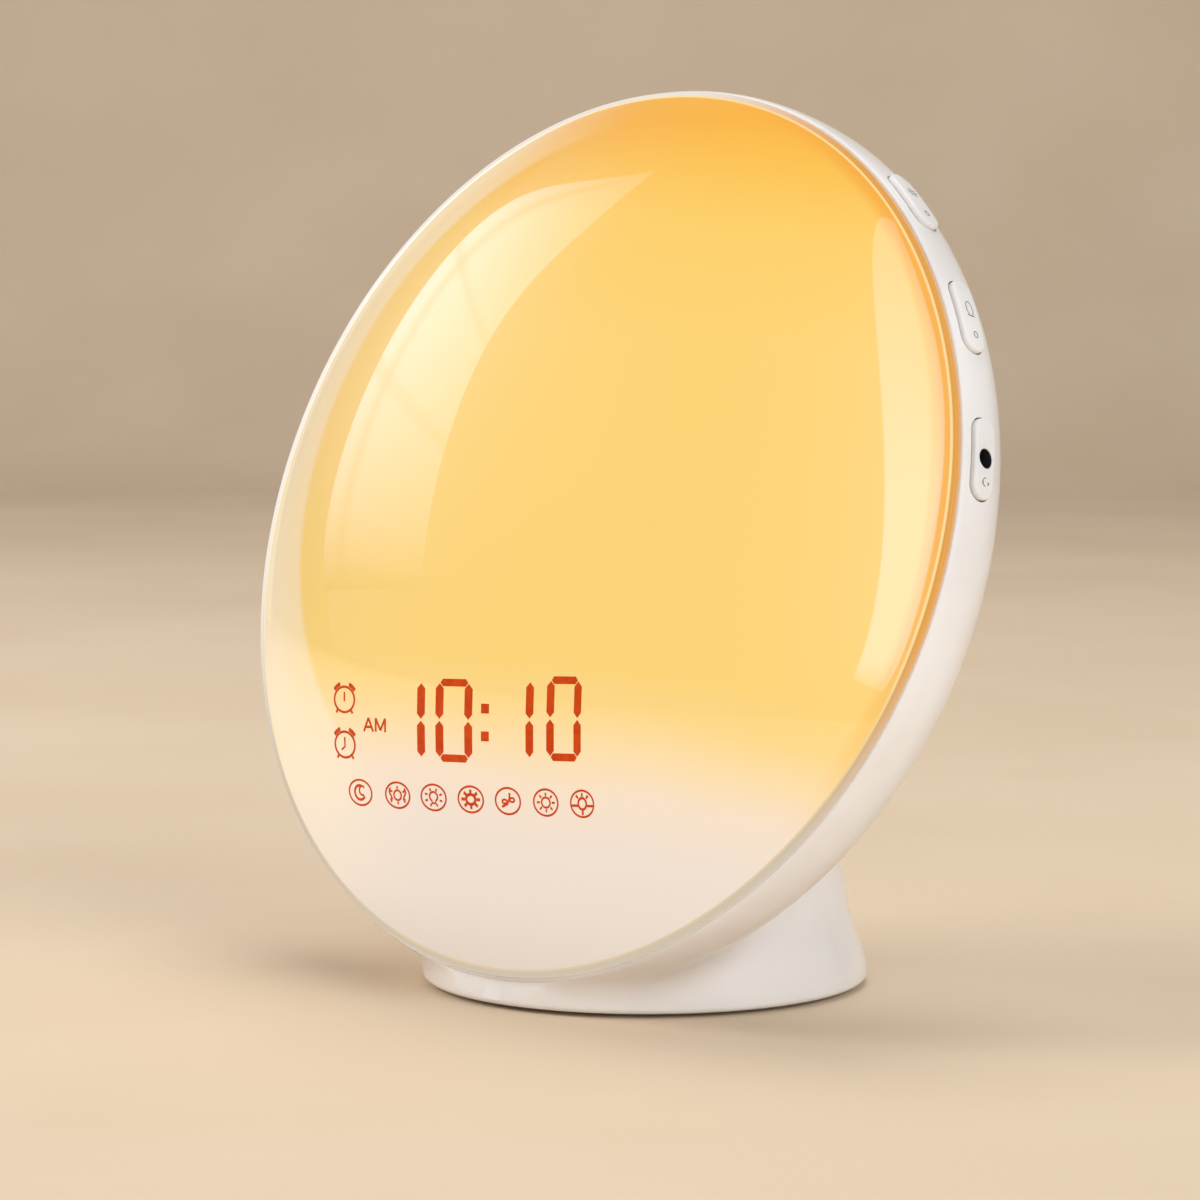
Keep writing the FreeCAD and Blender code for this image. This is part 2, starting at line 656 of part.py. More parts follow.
# Wires: power up through the bowl, speaker leads, and a ribbon to each switch board
power_lead = tube([
    V(0, body_start, inlet_height), V(0, body_start - 4, inlet_height),
    to_row.multVec(V(0, main_bottom - wire_hole, -rim_depth - bowl_depth - 2)),
    to_row.multVec(V(0, main_bottom - wire_hole, main_back - 4)),
    to_row.multVec(V(0, main_bottom + 4, main_back - 4)),
    to_row.multVec(V(0, main_bottom + 4, main_back))], wire_radius)
speaker_lead = tube([
    V(0, cover_rise - speaker_radius * 0.55, speaker_top - 2),
    V(0, main_top - 2 + 6, speaker_top - 2),
    V(0, main_top - 3, -main_depth + 2.5), V(0, main_top - 3, -main_depth)], wire_radius * 0.8)
ribbon_y = main_top - 6
ribbon_turn = (side_board_inner + 3, half_main - 3)
ribbon_points = [(ribbon_turn[0], side_board_back), (ribbon_turn[0], side_board_back - 3),
                 (ribbon_turn[1], -main_depth + 3), (ribbon_turn[1], -main_depth)]
ribbon_thick = 0.5


def ribbon():
    """A flat cable with a constant thickness in plan, from side board to main board."""
    upper = [V(x, ribbon_y, z) for x, z in ribbon_points]
    lower = [V(x - ribbon_thick, ribbon_y, z - ribbon_thick * bend)
             for (x, z), bend in zip(ribbon_points, (0, -0.9, -0.9, 0))]
    lower[3].z = ribbon_points[3][1]
    outline = upper + lower[::-1]
    return Part.Face(Part.makePolygon(outline + outline[:1])).extrude(V(0, 6, 0))


right_ribbon = ribbon()
left_ribbon = right_ribbon.mirror(V(0, 0, 0), V(1, 0, 0))

pads = {
    "key_right_middle": pad_angles_right[0], "key_right_top": pad_angles_right[1],
    "key_left_top": pad_angles_left[0], "key_left_middle": pad_angles_left[1],
    "key_left_bottom": pad_angles_left[2]}
for name, angle in pads.items():
    export(on_disc(turned(key, angle)), name)
    export(on_disc(turned(stem, angle)), name.replace("key", "stem"))

on_the_disc = {
    "light_cover": lens, "reflector_pan": pan, "light_board": light_board,
    "leds": Part.makeCompound(leds), "light_screws": Part.makeCompound(light_screws),
    "display_board": display_board, "display_light_box": light_box,
    "main_board": main_board, "board_parts": Part.makeCompound(board_parts),
    "main_screws": Part.makeCompound(main_screws), "side_screws": Part.makeCompound(side_screws),
    "right_switch_board": right_board, "left_switch_board": left_board,
    "right_switches": Part.makeCompound([turned(switch, a) for a in pad_angles_right]),
    "left_switches": Part.makeCompound([turned(switch, a) for a in pad_angles_left]),
    "jack_plate": turned(jack_plate, jack_angle), "headphone_jack": turned(jack, jack_angle),
    "rear_cover": rear_cover, "cover_screws": Part.makeCompound(cover_screws),
    "speaker_frame": speaker_frame, "speaker_magnet": speaker_magnet, "speaker_cone": speaker_cone,
    "speaker_lead": speaker_lead, "right_ribbon": right_ribbon, "left_ribbon": left_ribbon}
for name, shape in on_the_disc.items():
    export(on_disc(shape), name)

in_the_foot = {
    "housing": housing, "base_plate": base_plate, "rubber_foot": ring_foot,
    "base_screws": Part.makeCompound(base_screws), "battery_cap": battery_cap,
    "coin_cell": coin_cell, "battery_holder": battery_holder, "battery_contacts": battery_contacts,
    "power_inlet": power_inlet, "inlet_centre_pin": inlet_centre_pin, "power_lead": power_lead}
for name, shape in in_the_foot.items():
    export(shape, name)

box = housing.BoundBox
print("housing", [round(v, 1) for v in (box.XMin, box.XMax, box.YMin, box.YMax, box.ZMin, box.ZMax)])
for name, shape in list(on_the_disc.items()) + list(in_the_foot.items()):
    if not shape.isValid():
        print("not valid:", name)
    print(name, "solids", len(shape.Solids), "volume", round(shape.Volume, 1))
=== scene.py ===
# Sunrise alarm clock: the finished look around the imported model.
# Metres. Disc frame: x to the right, y up along the leaning disc, z out of its front.
import bmesh
import bpy
import math
import numpy as np
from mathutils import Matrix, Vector


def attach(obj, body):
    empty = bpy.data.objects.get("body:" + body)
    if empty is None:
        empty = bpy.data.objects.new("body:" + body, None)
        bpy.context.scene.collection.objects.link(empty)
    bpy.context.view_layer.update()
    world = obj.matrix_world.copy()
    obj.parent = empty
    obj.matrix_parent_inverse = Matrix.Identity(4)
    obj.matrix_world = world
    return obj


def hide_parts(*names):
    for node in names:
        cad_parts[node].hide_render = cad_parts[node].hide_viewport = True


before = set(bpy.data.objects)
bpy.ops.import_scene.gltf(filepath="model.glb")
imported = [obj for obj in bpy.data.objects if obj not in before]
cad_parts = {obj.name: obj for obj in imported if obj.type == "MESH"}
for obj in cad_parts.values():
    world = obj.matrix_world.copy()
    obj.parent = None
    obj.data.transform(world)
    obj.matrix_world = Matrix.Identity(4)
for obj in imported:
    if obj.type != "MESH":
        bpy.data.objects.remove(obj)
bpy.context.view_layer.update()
mm = 0.001
merging = {"distance": 2e-6, "sharp": 32.0}        # metres, degrees

stance = {"tilt": 17.6, "discHeight": 87.1, "setback": 15.8}        # degrees, mm, mm
leanAngle = math.radians(stance["tilt"])
discRight = np.array([1.0, 0.0, 0.0])
discUp = np.array([0.0, math.sin(leanAngle), math.cos(leanAngle)])
discFront = np.array([0.0, -math.cos(leanAngle), math.sin(leanAngle)])
discCentre = np.array([0.0, -stance["setback"], stance["discHeight"]]) * mm


def fromDisc(x, y, z):
    # disc frame in mm to the model's frame in metres: centre plus x right, y up, z front
    x, y, z = np.broadcast_arrays(x, y, z)
    axes = x[..., None] * discRight + y[..., None] * discUp + z[..., None] * discFront
    return discCentre + axes * mm


def addMesh(name, points, faces, smooth=True):
    # points in any grid of triples, faces by their numbers
    mesh = bpy.data.meshes.new(name)
    mesh.from_pydata(np.asarray(points).reshape(-1, 3), [], faces)
    mesh.update()
    mesh.polygons.foreach_set("use_smooth", [smooth] * len(mesh.polygons))
    piece = bpy.data.objects.new(name, mesh)
    bpy.context.scene.collection.objects.link(piece)
    return piece


def gridFaces(rows, columns, wrap):
    # quads between neighbouring rows of a grid; wrap joins the last column to the first
    i = np.arange(rows - 1)[:, None]
    j = np.arange(columns if wrap else columns - 1)[None, :]
    nextJ = (j + 1) % columns
    a, b = i * columns + j, i * columns + nextJ
    return np.stack([a, b, b + columns, a + columns], -1).reshape(-1, 4).tolist()


def sharpenBy(piece, degrees):
    # edges bent by more than the angle are marked sharp, the rest shade smooth
    piece.data.set_sharp_from_angle(angle=math.radians(degrees))


def mergedCopy(node, name):
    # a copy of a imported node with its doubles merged, so that it shades smooth
    copy = bpy.data.objects.new(name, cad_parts[node].data.copy())
    bpy.context.scene.collection.objects.link(copy)
    mesh = copy.data
    form = bmesh.new()
    form.from_mesh(mesh)
    bmesh.ops.remove_doubles(form, verts=form.verts, dist=merging["distance"])
    form.to_mesh(mesh)
    form.free()
    if "custom_normal" in mesh.attributes:
        mesh.attributes.remove(mesh.attributes["custom_normal"])
    mesh.polygons.foreach_set("use_smooth", [True] * len(mesh.polygons))
    sharpenBy(copy, merging["sharp"])
    mesh.materials.clear()
    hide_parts(node)
    return copy


# Shader maths: one socket wrapped, with Python's operators adding Math nodes
class Value:
    def __init__(self, graph, socket):
        self.graph, self.socket = graph, socket

    def maths(self, operation, *others):
        return self.graph.add("ShaderNodeMath", {"operation": operation}, [self, *others])

    def __add__(self, other):
        return self.maths("ADD", other)

    def __radd__(self, other):
        return self.maths("ADD", other)

    def __sub__(self, other):
        return self.maths("SUBTRACT", other)

    def __rsub__(self, other):
        return self.graph.add("ShaderNodeMath", {"operation": "SUBTRACT"}, [other, self])

    def __mul__(self, other):
        return self.maths("MULTIPLY", other)

    def __rmul__(self, other):
        return self.maths("MULTIPLY", other)

    def __truediv__(self, other):
        return self.maths("DIVIDE", other)

    def root(self):
        return self.maths("SQRT")

    def step(self, low, high):
        # 0 below low, 1 above high, smooth between
        return self.graph.add("ShaderNodeMapRange", {"interpolation_type": "SMOOTHSTEP"},
                              {"Value": self, "From Min": low, "From Max": high})


class Graph:
    def __init__(self, name):
        self.material = bpy.data.materials.new(name)
        self.material.use_nodes = True
        self.tree = self.material.node_tree
        self.surface = self.tree.nodes["Principled BSDF"]
        self.place = self.add("ShaderNodeTexCoord", {}, {}, "Object")

    def add(self, kind, settings, inputs, output=0):
        # any node: its settings first, then the values or links of its sockets
        node = self.tree.nodes.new(kind)
        for key, value in settings.items():
            if key == "stops":
                self.fillRamp(node.color_ramp, value)
            else:
                setattr(node, key, value)
        pairs = inputs.items() if isinstance(inputs, dict) else enumerate(inputs)
        for key, value in pairs:
            self.feed(node.inputs[key], value)
        return Value(self, node.outputs[output])

    def fillRamp(self, ramp, stops):
        while len(ramp.elements) < len(stops):
            ramp.elements.new(0.5)
        for element, (place, colour) in zip(ramp.elements, stops):
            element.position = place
            element.color = (*colour, 1.0)

    def feed(self, socket, value):
        if isinstance(value, Value):
            self.tree.links.new(value.socket, socket)
        else:
            socket.default_value = value

    def set(self, **inputs):
        for key, value in inputs.items():
            self.feed(self.surface.inputs[key.replace("_", " ")], value)

    def fix(self, **inputs):
        # sockets that hold one plain value all over the surface
        for key, value in inputs.items():
            self.surface.inputs[key.replace("_", " ")].default_value = value

    def noise(self, scale, detail):
        sockets = {"Vector": self.place, "Scale": scale, "Detail": detail}
        return self.add("ShaderNodeTexNoise", {}, sockets, "Fac")

    def twoTones(self, cloud, first, second, low=0.3, high=0.7):
        # one colour where the noise is low, the other where it is high
        return self.mix(cloud.step(low, high), rgba(linear(*first)), rgba(linear(*second)))

    def along(self, axis, centre):
        # distance from a point along an axis, in metres
        away = self.add("ShaderNodeVectorMath", {"operation": "SUBTRACT"}, [self.place, tuple(centre)])
        return self.add("ShaderNodeVectorMath", {"operation": "DOT_PRODUCT"}, [away, tuple(axis)], "Value")

    def mix(self, factor, first, second, blend="MIX"):
        return self.add("ShaderNodeMix", {"data_type": "RGBA", "blend_type": blend},
                        {0: factor, 6: first, 7: second}, 2)

    def bump(self, height, strength, distance):
        return self.add("ShaderNodeBump", {}, {"Height": height, "Strength": strength, "Distance": distance})


def linear(red, green, blue):
    # an sRGB colour of 0 to 255 as linear light
    return tuple(c / 12.92 if c <= 0.04045 else ((c + 0.055) / 1.055) ** 2.4
                 for c in (red / 255, green / 255, blue / 255))


def rgba(colour):
    return (*colour, 1.0)


# Materials
finishes = {
    # name: colour, darker colour, roughness, metallic, bump grain in 1/m, bump in mm
    "whiteShell": ((231, 227, 224), (222, 217, 213), 0.30, 0.0, 900.0, 0.010),
    "whiteKey": ((229, 226, 223), (219, 215, 212), 0.34, 0.0, 1400.0, 0.010),
    "innerWhite": ((238, 236, 230), (228, 225, 218), 0.60, 0.0, 700.0, 0.020),
    "boardGreen": ((22, 96, 52), (14, 74, 40), 0.38, 0.0, 500.0, 0.030),
    "boardWhite": ((232, 231, 226), (220, 219, 213), 0.42, 0.0, 500.0, 0.030),
    "lampBody": ((246, 226, 150), (240, 210, 120), 0.30, 0.0, 900.0, 0.010),
    "zincSteel": ((176, 178, 182), (150, 152, 157), 0.32, 1.0, 1800.0, 0.010),
    "blackPart": ((32, 32, 34), (22, 22, 24), 0.45, 0.0, 900.0, 0.020),
    "blackSteel": ((38, 38, 40), (26, 26, 28), 0.40, 0.6, 900.0, 0.020),
    "ferrite": ((62, 62, 64), (46, 46, 48), 0.60, 0.2, 1200.0, 0.040),
    "paperCone": ((54, 52, 50), (40, 38, 36), 0.85, 0.0, 1600.0, 0.080),
    "wireSleeve": ((168, 34, 30), (140, 26, 22), 0.45, 0.0, 500.0, 0.020),
    "flatCable": ((206, 204, 198), (186, 184, 178), 0.50, 0.0, 500.0, 0.020),
    "softRubber": ((34, 33, 33), (24, 23, 23), 0.75, 0.0, 1500.0, 0.050),
    "cellSteel": ((196, 197, 200), (172, 173, 177), 0.25, 1.0, 1500.0, 0.010),
    "platedContact": ((214, 180, 104), (190, 152, 80), 0.30, 1.0, 1500.0, 0.010)}


def plainFinish(name):
    # moulded or plated surface: two close tones by slow noise, a fine bump, roughness that drifts a little
    light, dark, rough, metal, grain, height = finishes[name]
    g = Graph(name)
    cloud = g.noise(38.0, 3.0)
    fine = g.noise(grain, 2.0)
    g.set(Base_Color=g.twoTones(cloud, light, dark, 0.35), Roughness=rough - 0.04 + cloud * 0.08,
          Normal=g.bump(fine, 0.5, height * mm))
    g.fix(Metallic=metal)
    return g


materials = {name: plainFinish(name) for name in finishes}
for name, weight in (("whiteShell", 0.35), ("whiteKey", 0.2), ("blackSteel", 0.3)):
    materials[name].fix(Coat_Weight=weight, Coat_Roughness=0.12)

glow = {
    # stops give a height on the disc in mm and the colour there, 0 to 255, a painted glow; the bands are
    # radii in mm;
    # own is the strength of its light, body the share of the colour that other light falls on;
    # cream is a painted reflection, gold painted glow at the edge, line a painted highlight, the flange
    # colours painted glow and painted shade
    "stops": [(-84, (224, 210, 196)), (-72, (233, 219, 206)), (-60, (238, 222, 208)), (-51, (245, 223, 197)),
              (-45, (250, 221, 170)), (-38, (252, 214, 134)), (-30, (252, 211, 114)), (30, (252, 210, 111)),
              (55, (252, 205, 94)), (68, (252, 192, 64)), (78, (252, 178, 34)), (84, (250, 180, 40))],
    "reach": 84.0, "waver": 5.0, "own": 0.87, "body": 0.14,
    "cream": (252, 234, 200), "reflectionCentre": (8.0, 8.0), "reflectionStart": (69.0, 72.0), "reflectionGrow": (72, 90),
    "gold": (246, 168, 40), "edgeGlowBand": (80.8, 83.4),
    "line": (255, 228, 160), "highlightShaded": (216, 192, 146), "highlightBand": (83.65, 83.85),
    "flangeGlow": (226, 158, 60), "flangePale": (236, 226, 214), "flangeShaded": (206, 192, 172),
    "flangeBand": (84.05, 84.2)}


def lightCoverFinish():
    # painted glow by height on the disc; near the edge a painted reflection, cream, on the left and painted
    # glow, gold, on the right;
    # then a thin painted highlight line, and the flange: painted glow, orange, on the right, pale on the left
    # and painted shade, grey, below
    g = Graph("litCover")
    tone = {key: rgba(linear(*glow[key]))
            for key in ("cream", "gold", "line", "highlightShaded", "flangeGlow", "flangePale", "flangeShaded")}
    x = g.along(discRight, discCentre) / mm
    y = g.along(discUp, discCentre) / mm
    radius = (x * x + y * y).root()
    low, high = -glow["reach"], glow["reach"]
    # painted glow: the colour by height stands in for the light of the lamps inside the cover
    stops = [((h - low) / (high - low), linear(*c)) for h, c in glow["stops"]]
    wave = g.noise(26.0, 1.0)
    height = (y + (wave - 0.5) * glow["waver"] - low) / (high - low)
    field = g.add("ShaderNodeValToRGB", {"stops": stops}, [height])
    # painted reflection: a cream band near the left edge of the dome, where it mirrors bright surroundings
    aside, above = x - glow["reflectionCentre"][0], y - glow["reflectionCentre"][1]
    band = (aside * aside + above * above).root()
    reflectionReach = band.step(*glow["reflectionStart"]) * 0.6 + band.step(*glow["reflectionGrow"]) * 0.3
    paintedReflection = (x * -1.0).step(5, 45) * y.step(-80, -40) * reflectionReach
    # painted glow: gold near the right edge, where light from inside leaks out at the dome's edge
    paintedEdgeGlow = x.step(10, 50) * y.step(-60, 10) * radius.step(*glow["edgeGlowBand"])
    # painted shade: rises towards the bottom of the disc, where the edge line and the flange are made greyer
    paintedShadeBelow = (y * -1.0).step(10, 60)
    colour = g.mix(paintedReflection, field, tone["cream"])
    colour = g.mix(paintedEdgeGlow * 0.85, colour, tone["gold"])
    # painted highlight: a thin bright line on the dome's rounded edge, with painted shade making it greyer
    # below
    paintedHighlight = g.mix(paintedShadeBelow, tone["line"], tone["highlightShaded"])
    colour = g.mix(radius.step(*glow["highlightBand"]) * 0.8, colour, paintedHighlight)
    # the flange: painted glow, orange, on the right, pale on the left, and painted shade, grey, below
    flange = g.mix(x.step(0, 50), tone["flangePale"], tone["flangeGlow"])
    flange = g.mix(paintedShadeBelow, flange, tone["flangeShaded"])
    colour = g.mix(radius.step(*glow["flangeBand"]), colour, flange)
    body = g.mix(1.0, colour, rgba((glow["body"],) * 3), "MULTIPLY")
    g.set(Base_Color=body, Emission_Color=colour, Roughness=0.32 + wave * 0.06)
    g.fix(Emission_Strength=glow["own"], Coat_Weight=1.0, Coat_Roughness=0.03, Coat_IOR=1.55)
    return g


inks = {
    # colour, second colour, noise in 1/m
    "litRed": ((206, 72, 16), (192, 62, 14), 700.0),
    "markGrey": ((128, 122, 116), (108, 102, 97), 900.0)}


def displayFinish():
    # red that glows through the light cover
    first, second, grain = inks["litRed"]
    g = Graph("litRed")
    wave = g.noise(grain, 2.0)
    tone = g.twoTones(wave, first, second)
    body = g.mix(1.0, tone, rgba((0.2,) * 3), "MULTIPLY")
    g.set(Base_Color=body, Emission_Color=tone, Roughness=0.4 + wave * 0.05)
    g.fix(Emission_Strength=0.85, Specular_IOR_Level=0.1)
    return g


def markFinish():
    # grey print on the keys
    first, second, grain = inks["markGrey"]
    g = Graph("markGrey")
    wave = g.noise(grain, 2.0)
    g.set(Base_Color=g.twoTones(wave, first, second), Roughness=0.5 + wave * 0.1)
    return g


materials["litCover"] = lightCoverFinish()
materials["litRed"] = displayFinish()
materials["markGrey"] = markFinish()


def finish(piece, name):
    piece.data.materials.clear()
    piece.data.materials.append(materials[name].material)


print("materials made")

# Light cover: a profile turned about the disc's axis; mm, apart from the counts of points and turns
cover = {"radius": 85.0, "domeRadius": 84.0, "rise": 27.0, "flange": 1.2, "wall": 2.0, "edge": 0.32,
         "spigot": 0.9, "spigotRadius": 83.55, "spigotWall": 1.9, "domeStop": 0.35, "innerStop": 4.0,
         "mouth": 0.6, "domePoints": 90, "innerPoints": 40, "turns": 288}
ballRadius = (cover["domeRadius"] ** 2 + cover["rise"] ** 2) / (2 * cover["rise"])
ballCentre = cover["flange"] + cover["rise"] - ballRadius


def domeHeight(x, y, inset=0.0):
    # height of the dome over the lens plane: a sphere about a centre far behind it
    return ballCentre + np.sqrt((ballRadius - inset) ** 2 - x * x - y * y)


def arc(centre, radius, start, end, count):
    # centre plus radius times cosine and sine, from the start angle to the end angle
    angle = np.radians(np.linspace(start, end, count))
    return np.stack([centre[0] + radius * np.cos(angle), centre[1] + radius * np.sin(angle)], 1)


def turnedProfile(name, profile, count):
    # each point (r, z) of the profile is carried round the disc's axis; both ends lie on the axis
    angle = np.linspace(0, 2 * np.pi, count, endpoint=False)
    r, z = profile[1:-1, 0], profile[1:-1, 1]
    body = fromDisc(r[:, None] * np.cos(angle), r[:, None] * np.sin(angle), z[:, None])
    tips = fromDisc(np.zeros(2), np.zeros(2), profile[[0, -1], 1])
    points = np.concatenate([body.reshape(-1, 3), tips])
    rows = len(r)
    faces = gridFaces(rows, count, True)
    j = np.arange(count)
    top, bottom = rows * count, rows * count + 1
    faces += np.stack([np.full(count, top), (j + 1) % count, j], 1).tolist()
    base = (rows - 1) * count
    faces += np.stack([np.full(count, bottom), base + j, base + (j + 1) % count], 1).tolist()
    faces = [face[::-1] for face in faces]
    return addMesh(name, points, faces)


def makeLightCover():
    # the profile in order: dome, the small step at its foot, rounded rim, spigot, inner dome
    c = cover
    rOut = np.linspace(0, c["domeRadius"] - c["domeStop"], c["domePoints"])
    dome = np.stack([rOut, domeHeight(rOut, 0)], 1)
    foot = np.array([[c["domeRadius"] - 0.1, c["flange"] + 0.06], [c["domeRadius"] + 0.2, c["flange"]]])
    rim = arc((c["radius"] - c["edge"], c["flange"] - c["edge"]), c["edge"], 90, 0, 6)
    spigotInside = c["spigotRadius"] - c["spigotWall"]
    back = np.array([[c["radius"], 0.25], [c["radius"] - 0.2, 0.0], [c["spigotRadius"], 0.0],
                     [c["spigotRadius"], -c["spigot"]], [spigotInside, -c["spigot"]],
                     [spigotInside, c["mouth"]]])
    rIn = np.linspace(c["domeRadius"] - c["innerStop"], 0, c["innerPoints"])
    inner = np.stack([rIn, domeHeight(rIn, 0, c["wall"])], 1)
    piece = turnedProfile("lightCover", np.concatenate([dome, foot, rim, back, inner]), c["turns"])
    sharpenBy(piece, 60)
    finish(piece, "litCover")
    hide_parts("light_cover")
    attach(piece, "clock")


makeLightCover()
print("light cover made")

# Display: flat strokes and tiles laid on the dome
display = {
    # mm on the disc: rows are heights, places are along the row
    "centre": 1.8, "squeeze": 0.00435, "lean": 0.05, "bend": 0.0009, "lift": 0.02, "thick": 0.05,
    "digitHigh": 14.5, "digitWide": 9.2, "upright": 1.95, "level": 1.32, "gap": 0.34,
    "digits": [(-12.0, -42.2, "bc"), (-3.7, -42.1, "abcdef"), (15.4, -41.6, "bc"), (24.4, -41.3, "abcdef")],
    "colon": (3.15, 5.1), "colonRows": (-39.9, -44.7), "colonHalf": 0.85,
    "alarms": [(-32.5, -39.2, None), (-32.5, -47.3, (-1.0, -0.95))],
    "letters": (-24.0, -43.5), "letterLine": 0.44,
    "iconWide": 3.15, "iconHigh": 2.22, "line": 0.36, "pitch": 9.62, "row": -55.6,
    "iconShifts": (0.0, 0.5, 0.2, 0.0, -0.2, -0.05, 0.1)}


def onDome(s, t, lift):
    # plate place (s, t) to the disc: s drawn closer to the right, rows that lean and bend a little
    x = display["centre"] + s - display["squeeze"] * s * s
    y = t + display["lean"] * x + display["bend"] * x * x
    return fromDisc(x, y, domeHeight(x, y) + lift)


def solidTile(outline, onSurface, lift, thick):
    # a polygon laid on a surface with a thickness: top, underside and sides
    outline = np.asarray(outline, float)
    n = len(outline)
    under = onSurface(outline[:, 0], outline[:, 1], lift)
    top = onSurface(outline[:, 0], outline[:, 1], lift + thick)
    faces = [list(range(n, 2 * n)), list(range(n))[::-1]]
    faces += [[i, (i + 1) % n, n + (i + 1) % n, n + i] for i in range(n)]
    return np.concatenate([under, top]), faces


def solidStroke(path, width, closed, onSurface, lift, thick):
    # a rectangle carried along a path: four corners at each point, across the path and up
    path = np.asarray(path, float)
    ahead = np.roll(path, -1, 0) - np.roll(path, 1, 0)
    if not closed:
        ahead[0], ahead[-1] = path[1] - path[0], path[-1] - path[-2]
    ahead /= np.linalg.norm(ahead, axis=1)[:, None]
    across = np.stack([-ahead[:, 1], ahead[:, 0]], 1) * width / 2
    left, right = path + across, path - across
    ways = [(left, lift + thick), (right, lift + thick), (right, lift), (left, lift)]
    corners = [onSurface(way[:, 0], way[:, 1], level) for way, level in ways]
    points = np.stack(corners, 1).reshape(-1, 3)
    n = len(path)
    faces = []
    for i in range(n if closed else n - 1):
        a, b = 4 * i, 4 * ((i + 1) % n)
        faces += [[a + k, a + (k + 1) % 4, b + (k + 1) % 4, b + k] for k in range(4)]
    if not closed:
        last = 4 * (n - 1)
        faces += [[3, 2, 1, 0], [last, last + 1, last + 2, last + 3]]
    return points, faces


class Drawing:
    # collects strokes and tiles into one piece
    def __init__(self, onSurface, lift, thick):
        self.onSurface, self.lift, self.thick = onSurface, lift, thick
        self.points, self.faces, self.count = [], [], 0

    def put(self, part):
        points, faces = part
        self.points.append(points)
        self.faces += [[i + self.count for i in face] for face in faces]
        self.count += len(points)

    def tile(self, outline):
        self.put(solidTile(outline, self.onSurface, self.lift, self.thick))

    def stroke(self, path, width, closed=False):
        self.put(solidStroke(path, width, closed, self.onSurface, self.lift, self.thick))

    def loop(self, x, y, wide, high, width, start=0.0, end=360.0):
        closed = end - start >= 360.0
        turn = np.radians(np.linspace(start, end, 40, endpoint=not closed))
        self.stroke(np.stack([x + wide * np.cos(turn), y + high * np.sin(turn)], 1), width, closed)

    def rays(self, x, y, inner, outer, count, width, squash, turn=0.0):
        for k in range(count):
            angle = 2 * math.pi * k / count + turn
            way = np.array([math.cos(angle) * squash, math.sin(angle)])
            self.stroke([(x, y) + way * inner, (x, y) + way * outer], width)

    def piece(self, name, material, body):
        made = addMesh(name, np.concatenate(self.points), self.faces, smooth=False)
        finish(made, material)
        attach(made, body)


def bar(x, y, length, stroke, upright):
    # one segment: a long hexagon whose ends come to a point
    half, w = length / 2, stroke / 2
    tip = w * 0.9
    outline = [(-half, 0), (-half + tip, -w), (half - tip, -w), (half, 0), (half - tip, w), (-half + tip, w)]
    if upright:
        outline = [(-b, a) for a, b in outline]
    return [(x + a, y + b) for a, b in outline]


def drawDigit(drawing, centre, row, lit):
    # segments of a seven-segment figure, each by its offset from the figure's centre
    d = display
    high, wide = d["digitHigh"] - d["level"], d["digitWide"] - d["upright"]
    if lit == "bc":
        centre -= wide / 2
    places = {"a": (0, high / 2, False), "d": (0, -high / 2, False),
              "b": (wide / 2, high / 4, True), "c": (wide / 2, -high / 4, True),
              "f": (-wide / 2, high / 4, True), "e": (-wide / 2, -high / 4, True)}
    for segment in lit:
        x, y, upright = places[segment]
        length = (high / 2 if upright else wide) - d["gap"]
        drawing.tile(bar(centre + x, row + y, length, d["upright" if upright else "level"], upright))


def drawAlarm(drawing, x, y, hand):
    # an alarm clock: case, two bells, two feet and its hands
    wide, high, line = 2.85, 2.3, display["line"] * 1.2
    drawing.loop(x, y, wide, high, line)
    for side in (-1, 1):
        middle = 90 - side * 38
        drawing.loop(x, y, wide * 1.24, high * 1.28, line * 1.7, middle - 17, middle + 17)
        foot = np.array([(side * wide * 0.66, -high * 0.80), (side * wide * 0.82, -high * 1.06)]) + (x, y)
        drawing.stroke(foot, line * 1.1)
    hands = [(x, y + high * 0.58), (x, y - high * 0.15)]
    if hand:
        hands.append((x + hand[0], y + hand[1]))
    drawing.stroke(hands, line * 0.9)


def drawLetters(drawing, x, y):
    # A and M as strokes: each pair is a start and an end
    strokes = [((-3.0, -1.2), (-1.75, 1.2)), ((-1.75, 1.2), (-0.5, -1.2)), ((-2.5, -0.4), (-1.0, -0.4)),
               ((0.2, -1.2), (0.2, 1.2)), ((0.2, 1.2), (1.45, -0.9)), ((1.45, -0.9), (2.7, 1.2)),
               ((2.7, 1.2), (2.7, -1.2))]
    for (x0, y0), (x1, y1) in strokes:
        drawing.stroke([(x + x0, y + y0), (x + x1, y + y1)], display["letterLine"])


# The seven round marks: each is drawn about (x, y), squash makes its rays as wide as its ring
def moonIcon(drawing, x, y, line, squash):
    drawing.loop(x - 0.1, y, 1.45, 1.25, line * 1.3, 70, 330)
    drawing.loop(x + 0.55, y + 0.35, 0.8, 0.8, line, 40, 300)


def wavesIcon(drawing, x, y, line, squash):
    # a sun between two wavy lines, each a sine along its height
    drawing.loop(x, y, 0.95, 0.85, line)
    for side in (-1, 1):
        drawing.stroke([(x + side * (1.85 + 0.28 * math.sin(2.6 * t)), y + t)
                        for t in np.linspace(-1.25, 1.25, 9)], line)
    drawing.rays(x, y, 1.1, 1.6, 6, line, squash, math.pi / 2)


def bulbIcon(drawing, x, y, line, squash):
    drawing.loop(x, y + 0.15, 1.0, 0.8, line, -60, 240)
    socket = [(-0.5, -0.55), (-0.4, -1.0), (0.4, -1.0), (0.5, -0.55)]
    drawing.stroke([(x + a, y + b) for a, b in socket], line)
    drawing.rays(x, y, 1.15, 1.65, 8, line, squash, math.pi / 8)


